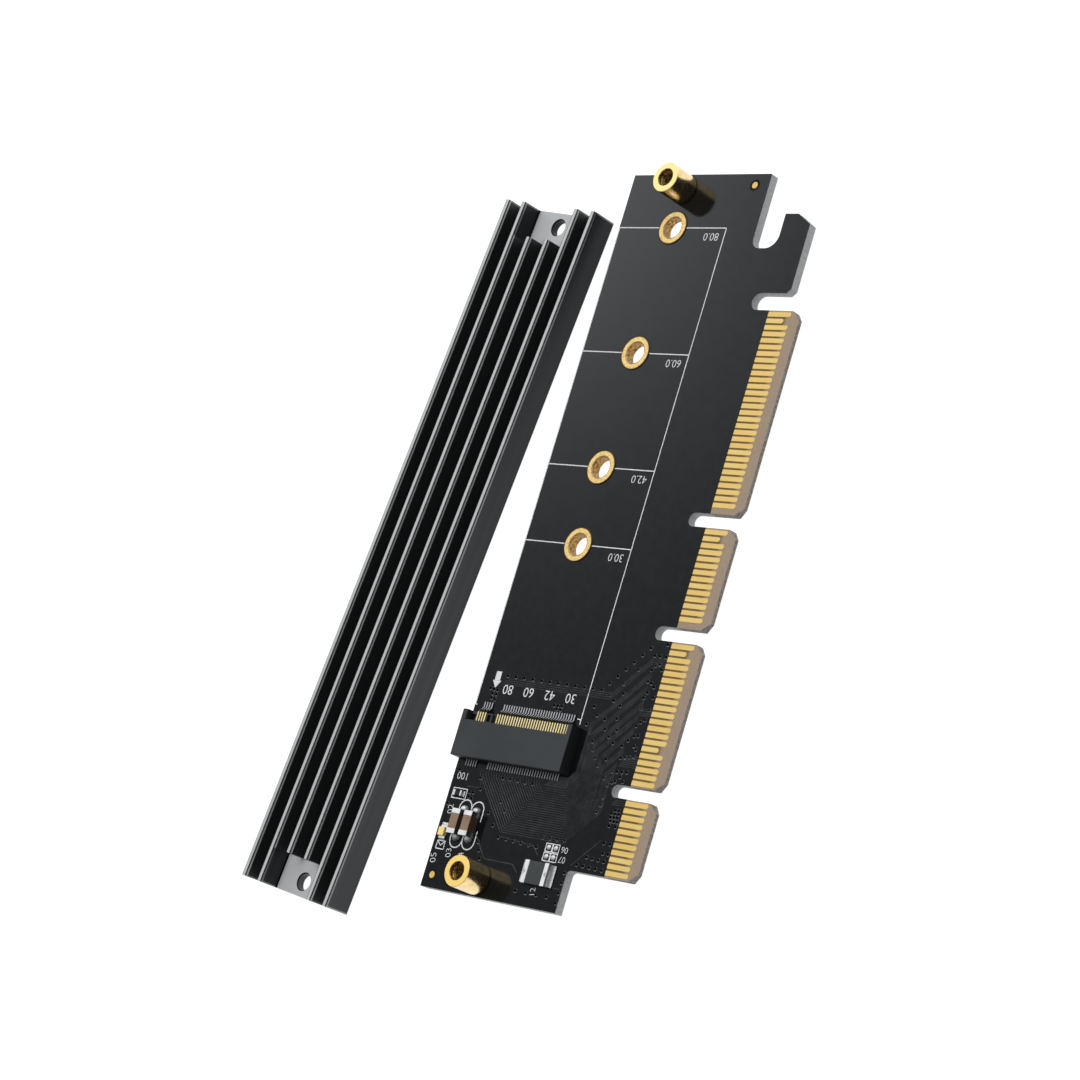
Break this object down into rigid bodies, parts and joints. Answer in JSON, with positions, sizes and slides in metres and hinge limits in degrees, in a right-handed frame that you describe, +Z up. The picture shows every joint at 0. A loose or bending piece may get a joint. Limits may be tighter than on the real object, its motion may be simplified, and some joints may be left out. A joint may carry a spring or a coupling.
{
  "type": "nvme adapter card",
  "caption": "Card-edge adapter that carries a plug-in memory module between its socket and ringed holes, with posts for a finned cooling cover laid beside it.",
  "frame": {"origin": "on the card's back face, where the contact edge meets the middle line of the key notch", "axes": "+X out of the contact edge into the slot, +Y along the card towards the hook end, +Z up out of the face that carries the parts"},
  "size_m": [0.0739, 0.118, 0.0062],
  "materials": {
    "board": "glossy black coating over woven laminate, bare tan laminate on the contact tongue",
    "contact_gold": "gold plating",
    "ring_gold": "gold plating",
    "post_brass": "turned brass",
    "socket_plastic": "moulded black plastic",
    "ceramic": "fired ceramic",
    "tinned": "tin plating",
    "resistor_black": "printed black glaze",
    "fuse_grey": "dark polymer",
    "lamp_base_white": "white laminate",
    "lamp_yellow": "clear yellow resin",
    "solder": "reflowed solder",
    "cover_anodised": "black anodised extrusion"
  },
  "bodies": {
    "root": {"circuit_board": "board", "edge_contacts_front": "contact_gold", "edge_contacts_back": "contact_gold", "hole_ring_30": "ring_gold", "hole_ring_42": "ring_gold", "hole_ring_60": "ring_gold", "hole_ring_80": "ring_gold", "cover_post_near": "post_brass", "cover_post_far": "post_brass", "socket_housing": "socket_plastic", "socket_contacts_lower": "contact_gold", "socket_contacts_upper": "contact_gold", "capacitor_outer_body": "ceramic", "capacitor_inner_body": "ceramic", "capacitor_outer_ends": "tinned", "capacitor_inner_ends": "tinned", "resistor_body": "resistor_black", "resistor_ends": "tinned", "fuse_body": "fuse_grey", "fuse_ends": "tinned", "lamp_base": "lamp_base_white", "lamp_ends": "tinned", "lamp_lens": "lamp_yellow", "solder_joints": "solder", "spare_pad_solder": "solder", "fiducial_dots": "contact_gold", "finned_cover": "cover_anodised"}
  },
  "joints": []
}
